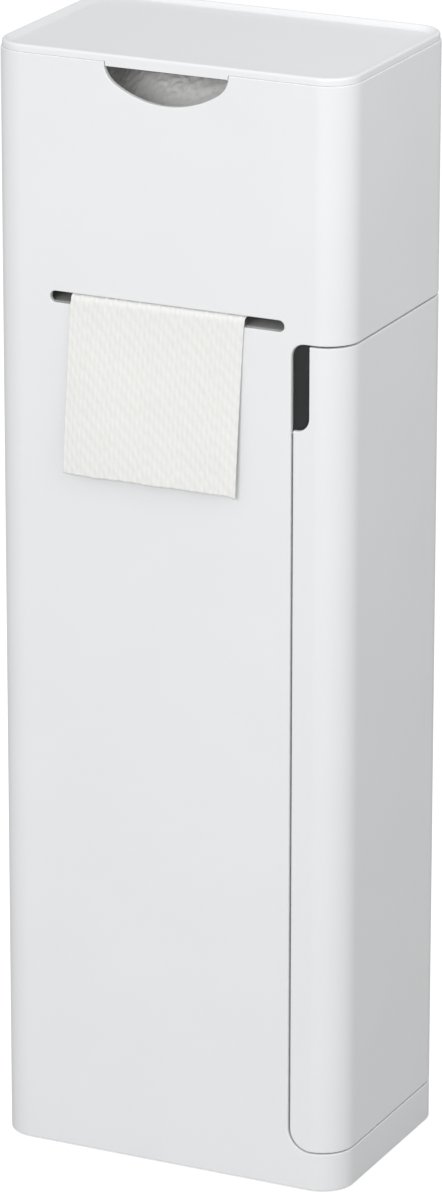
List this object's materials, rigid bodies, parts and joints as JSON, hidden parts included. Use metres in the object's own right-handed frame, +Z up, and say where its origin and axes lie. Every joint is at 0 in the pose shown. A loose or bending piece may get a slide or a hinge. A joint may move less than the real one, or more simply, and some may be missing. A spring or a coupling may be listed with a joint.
{
  "type": "toilet accessory stand",
  "caption": "Slim free-standing white bathroom column: toilet roll behind a slot, half-moon finger notch, lift-off tray lid and a side door over a brush bay.",
  "frame": {"origin": "middle of the footprint, on the floor", "axes": "+X to the right seen from the front, -Y towards the front, +Z up"},
  "size_m": [0.2, 0.1353, 0.6],
  "materials": {
    "white_abs": "satin moulded ABS",
    "inner_pp": "moulded polypropylene",
    "charcoal_pp": "moulded polypropylene",
    "rubber": "matte",
    "steel": "nickel plated",
    "tissue": "embossed tissue paper",
    "card": "spiral wound card",
    "bristle": "nylon filament"
  },
  "bodies": {
    "stand": {"housing": "white_abs", "rubber_feet": "rubber", "roll_shelf": "inner_pp", "shelf_screws": "steel", "spindle": "inner_pp", "splash_divider": "inner_pp", "catch_housing": "charcoal_pp", "catch_magnet": "steel", "catch_screws": "steel", "paper_sheet": "tissue"},
    "lid": {"lid_tray": "white_abs"},
    "door": {"door_panel": "white_abs", "upper_hinge_pin": "steel", "lower_hinge_pin": "steel", "strike_plate": "steel", "strike_rivets": "steel"},
    "roll": {"paper_roll": "tissue", "roll_core": "card"},
    "tub": {"brush_tub": "inner_pp"},
    "brush": {"brush_shaft": "white_abs", "handle_grip": "white_abs", "grip_cap": "charcoal_pp", "splash_collar": "inner_pp", "bristle_block": "white_abs", "bristle_head": "bristle"}
  },
  "joints": [
    {"name": "lid_lift", "type": "slide", "parent": "stand", "child": "lid", "axis": [0, 0, 1], "range_m": [0, 0.08]},
    {"name": "door_swing", "type": "hinge", "parent": "stand", "child": "door", "pos_m": [0.082, 0.047, 0.24], "axis": [0, 0, 1], "range_deg": [0, 90]},
    {"name": "roll_spin", "type": "hinge", "parent": "stand", "child": "roll", "pos_m": [-0.005, 0, 0.533], "axis": [1, 0, 0], "continuous": true},
    {"name": "tub_lift", "type": "slide", "parent": "stand", "child": "tub", "axis": [0, 0, 1], "range_m": [0, 0.015]},
    {"name": "brush_lift", "type": "slide", "parent": "tub", "child": "brush", "axis": [0, 0, 1], "range_m": [0, 0.095]}
  ]
}
